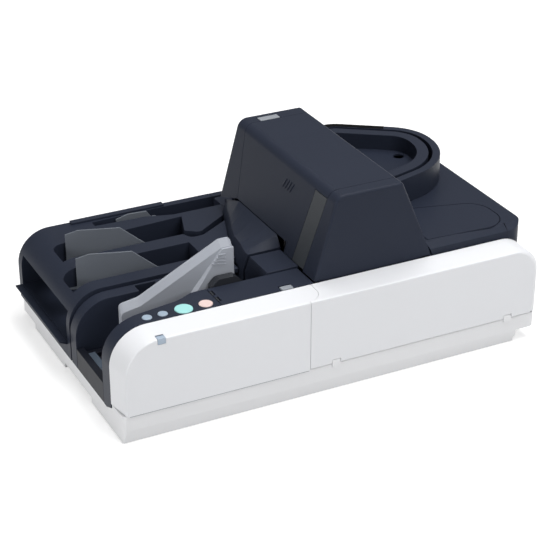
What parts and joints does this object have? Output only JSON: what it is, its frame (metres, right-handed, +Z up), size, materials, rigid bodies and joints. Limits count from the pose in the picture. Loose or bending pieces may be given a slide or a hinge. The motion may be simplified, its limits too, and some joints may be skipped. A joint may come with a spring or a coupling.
{
  "type": "cheque scanner",
  "caption": "Desktop cheque scanner with a white front, dark feed lane, tall scanning head with hinged covers, U-turn track and three stacking pockets.",
  "frame": {"origin": "centre of the footprint, on the table", "axes": "+X to the right end with the U-turn, +Y to the back, +Z up"},
  "size_m": [0.555, 0.3442, 0.2315],
  "materials": {
    "white_cover": "satin",
    "white_base": "matte",
    "dark_cover": "satin",
    "dark_track": "matte",
    "grey_arm": "satin",
    "grey_plate": "matte",
    "tab_grey": "matte",
    "trim_grey": "matte",
    "bar_grey": "satin",
    "button_grey": "satin",
    "start_green": "satin",
    "stop_coral": "satin",
    "window_grey": "gloss",
    "rubber": "matte",
    "steel": "brushed",
    "board_green": "matte",
    "motor_black": "satin",
    "cartridge_blue": "matte"
  },
  "bodies": {
    "machine": {"base_tray": "white_base", "feeder_frame": "dark_track", "right_deck": "dark_cover", "rear_track_cover": "dark_cover", "rubber_feet": "rubber", "chassis_plate": "steel", "chassis_screws": "steel", "front_cover_left": "white_cover", "status_window": "window_grey", "operation_panel": "dark_cover", "panel_board": "board_green", "feed_tray": "dark_track", "lane_guide_bar": "bar_grey", "lane_wall": "dark_cover", "arm_pivot_pin": "steel", "stacker_cover": "dark_cover", "exit_ledge": "dark_cover", "plate_pins": "steel", "entrance_platform": "dark_cover", "entrance_block": "dark_cover", "head_front_cover": "dark_cover", "head_trim_strip": "trim_grey", "turn_outer_wall": "dark_cover", "turn_inner_guide": "dark_cover", "drive_motor": "motor_black", "drive_belts": "rubber", "track_guides": "steel", "scan_module_front": "motor_black", "scan_module_rear": "motor_black", "main_board": "board_green", "ink_cartridge": "cartridge_blue", "power_inlet": "motor_black", "data_port": "steel", "hinge_pins": "steel"},
    "front_door": {"front_cover_right": "white_cover"},
    "roller_lid": {"roller_cover": "dark_cover"},
    "roller_lid_latch": {"roller_cover_latch": "tab_grey"},
    "head_main": {"head_main_cover": "dark_cover"},
    "head_rear": {"head_rear_cover": "dark_cover"},
    "head_rear_latch": {"head_latch": "tab_grey"},
    "lid": {"deck_lid": "dark_cover"},
    "press_arm": {"feed_press_arm": "grey_arm"},
    "press_plate_front_body": {"press_plate_front": "grey_plate"},
    "press_plate_middle_body": {"press_plate_middle": "grey_plate"},
    "press_plate_rear_body": {"press_plate_rear": "grey_plate"},
    "small_button_left_body": {"small_button_left": "button_grey"},
    "small_button_right_body": {"small_button_right": "button_grey"},
    "start_button_body": {"start_button": "start_green"},
    "stop_button_body": {"stop_button": "stop_coral"},
    "entry_drive_roller_body": {"entry_drive_roller": "rubber"},
    "exit_drive_roller_body": {"exit_drive_roller": "rubber"},
    "entry_pinch_roller_body": {"entry_pinch_roller": "rubber"},
    "exit_pinch_roller_body": {"exit_pinch_roller": "rubber"},
    "feed_roller_body": {"feed_roller": "rubber"},
    "pickup_roller_body": {"pickup_roller": "rubber"},
    "retard_roller_body": {"retard_roller": "rubber"},
    "motor_pulley_body": {"motor_pulley": "steel"}
  },
  "joints": [
    {"name": "front_door_hinge", "type": "hinge", "parent": "machine", "child": "front_door", "pos_m": [0.1175, -0.169, 0.0395], "axis": [1, 0, 0], "range_deg": [0, 80]},
    {"name": "roller_lid_hinge", "type": "hinge", "parent": "machine", "child": "roller_lid", "pos_m": [-0.1274, -0.115, 0.126], "axis": [0, -1, 0], "range_deg": [0, 80]},
    {"name": "roller_lid_latch_slide", "type": "slide", "parent": "roller_lid", "child": "roller_lid_latch", "axis": [0, 1, 0], "range_m": [0, 0.0015], "stiffness_N_per_m": 300, "springref_m": -0.002},
    {"name": "head_main_hinge", "type": "hinge", "parent": "machine", "child": "head_main", "pos_m": [0.13595, -0.022, 0.1476], "axis": [0, 1, 0], "range_deg": [0, 32]},
    {"name": "head_rear_hinge", "type": "hinge", "parent": "machine", "child": "head_rear", "pos_m": [0.0625, 0.121, 0.1326], "axis": [-1, 0, 0], "range_deg": [0, 50]},
    {"name": "head_rear_latch_slide", "type": "slide", "parent": "head_rear", "child": "head_rear_latch", "axis": [0, 1, 0], "range_m": [0, 0.0012], "stiffness_N_per_m": 300, "springref_m": -0.002},
    {"name": "lid_hinge", "type": "hinge", "parent": "machine", "child": "lid", "pos_m": [0.1485, -0.082, 0.141], "axis": [0, -1, 0], "range_deg": [0, 75]},
    {"name": "press_arm_hinge", "type": "hinge", "parent": "machine", "child": "press_arm", "pos_m": [-0.2195, -0.0725, 0.06], "axis": [0, 0, 1], "range_deg": [0, 14], "stiffness_Nm_per_rad": 0.05, "springref_deg": -17.19},
    {"name": "press_plate_front_hinge", "type": "hinge", "parent": "machine", "child": "press_plate_front_body", "pos_m": [-0.1275, 0.0165, 0.06], "axis": [0, 0, 1], "range_deg": [0, 14], "stiffness_Nm_per_rad": 0.01, "springref_deg": -17.19},
    {"name": "press_plate_middle_hinge", "type": "hinge", "parent": "machine", "child": "press_plate_middle_body", "pos_m": [-0.1165, 0.0825, 0.06], "axis": [0, 0, 1], "range_deg": [0, 14], "stiffness_Nm_per_rad": 0.01, "springref_deg": -17.19},
    {"name": "press_plate_rear_hinge", "type": "hinge", "parent": "machine", "child": "press_plate_rear_body", "pos_m": [-0.0915, 0.151, 0.06], "axis": [0, 0, 1], "range_deg": [0, 4], "stiffness_Nm_per_rad": 0.01, "springref_deg": -17.19},
    {"name": "small_button_left_press", "type": "slide", "parent": "machine", "child": "small_button_left_body", "axis": [0, 0, -1], "range_m": [0, 0.0015], "stiffness_N_per_m": 400, "springref_m": -0.002},
    {"name": "small_button_right_press", "type": "slide", "parent": "machine", "child": "small_button_right_body", "axis": [0, 0, -1], "range_m": [0, 0.0015], "stiffness_N_per_m": 400, "springref_m": -0.002},
    {"name": "start_button_press", "type": "slide", "parent": "machine", "child": "start_button_body", "axis": [0, 0, -1], "range_m": [0, 0.0015], "stiffness_N_per_m": 400, "springref_m": -0.002},
    {"name": "stop_button_press", "type": "slide", "parent": "machine", "child": "stop_button_body", "axis": [0, 0, -1], "range_m": [0, 0.0015], "stiffness_N_per_m": 400, "springref_m": -0.002},
    {"name": "exit_drive_roller_spin", "type": "hinge", "parent": "machine", "child": "exit_drive_roller_body", "pos_m": [0.1135, -0.01243, 0.08], "axis": [0, 0, 1], "continuous": true},
    {"name": "entry_drive_roller_spin", "type": "hinge", "parent": "machine", "child": "entry_drive_roller_body", "pos_m": [0.01461, -0.02731, 0.08], "axis": [0, 0, 1], "continuous": true},
    {"name": "motor_pulley_spin", "type": "hinge", "parent": "machine", "child": "motor_pulley_body", "pos_m": [0.0675, 0.033, 0.08], "axis": [0, 0, 1], "continuous": true},
    {"name": "entry_pinch_roller_spin", "type": "hinge", "parent": "machine", "child": "entry_pinch_roller_body", "pos_m": [0.01766, -0.04759, 0.08], "axis": [0, 0, 1], "continuous": true},
    {"name": "exit_pinch_roller_spin", "type": "hinge", "parent": "machine", "child": "exit_pinch_roller_body", "pos_m": [0.11655, -0.0327, 0.08], "axis": [0, 0, 1], "continuous": true},
    {"name": "feed_roller_spin", "type": "hinge", "parent": "machine", "child": "feed_roller_body", "pos_m": [-0.0775, -0.03175, 0.08], "axis": [0, 0, 1], "continuous": true},
    {"name": "pickup_roller_spin", "type": "hinge", "parent": "machine", "child": "pickup_roller_body", "pos_m": [-0.1715, -0.0245, 0.08], "axis": [0, 0, 1], "continuous": true},
    {"name": "retard_roller_spin", "type": "hinge", "parent": "machine", "child": "retard_roller_body", "pos_m": [-0.0775, -0.05225, 0.08], "axis": [0, 0, 1], "continuous": true}
  ],
  "couplings": [
    {"joint": "entry_drive_roller_spin", "follows": "exit_drive_roller_spin", "ratio": 1},
    {"joint": "motor_pulley_spin", "follows": "exit_drive_roller_spin", "ratio": 1},
    {"joint": "entry_pinch_roller_spin", "follows": "exit_drive_roller_spin", "ratio": -1.5},
    {"joint": "exit_pinch_roller_spin", "follows": "exit_drive_roller_spin", "ratio": -1.5},
    {"joint": "pickup_roller_spin", "follows": "feed_roller_spin", "ratio": 1},
    {"joint": "retard_roller_spin", "follows": "feed_roller_spin", "ratio": -1.2222}
  ]
}
